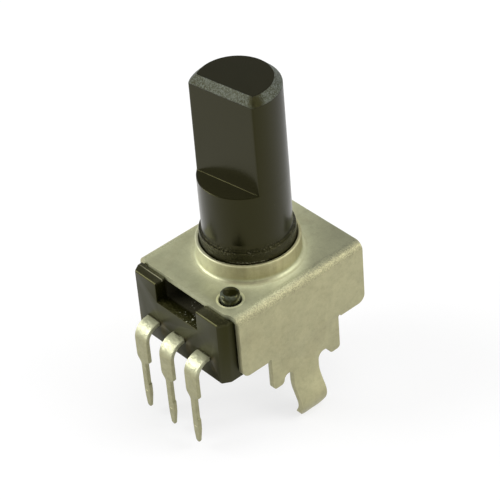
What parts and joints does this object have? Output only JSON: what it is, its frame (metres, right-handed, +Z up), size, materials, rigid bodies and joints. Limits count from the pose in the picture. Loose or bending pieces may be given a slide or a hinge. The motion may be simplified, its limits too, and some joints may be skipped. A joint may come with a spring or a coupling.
{
  "type": "rotary potentiometer",
  "caption": "Upright rotary potentiometer for a circuit board: plastic D shaft in a stamped snap-in cover over a black housing, with bent pin terminals along its front",
  "frame": {"origin": "on the shaft's axis at the surface of the circuit board, where the four teeth of the cover stand", "axes": "+Z runs up the shaft, away from the board. -Y faces the terminals, so the pins' row lies along X at the front. X runs across the two flanges with the snap-in lugs"},
  "size_m": [0.011, 0.0133, 0.0245],
  "materials": {
    "plated_sheet": "matt tin plating on steel sheet",
    "moulding": "black moulded housing",
    "shaft_plastic": "black moulded shaft, faintly glossy",
    "spring_sheet": "spring bronze sheet",
    "laminate": "brown paper laminate",
    "carbon_print": "printed carbon film",
    "silver_print": "printed silver film",
    "tinned_sheet": "satin tinned sheet",
    "rivet_metal": "plated hollow rivet"
  },
  "bodies": {
    "case": {"cover": "plated_sheet", "housing": "moulding", "element_board": "laminate", "resistive_track": "carbon_print", "collector_track": "silver_print", "electrode_left": "silver_print", "electrode_right": "silver_print", "terminal_left": "tinned_sheet", "terminal_centre": "tinned_sheet", "terminal_right": "tinned_sheet", "rivet_left": "rivet_metal", "rivet_centre": "rivet_metal", "rivet_right": "rivet_metal"},
    "rotor": {"shaft": "shaft_plastic", "wiper": "spring_sheet"}
  },
  "joints": [
    {"name": "shaft_turn", "type": "hinge", "parent": "case", "child": "rotor", "pos_m": [0, 0, 0], "axis": [0, 0, 1], "range_deg": [-149, 131]}
  ]
}
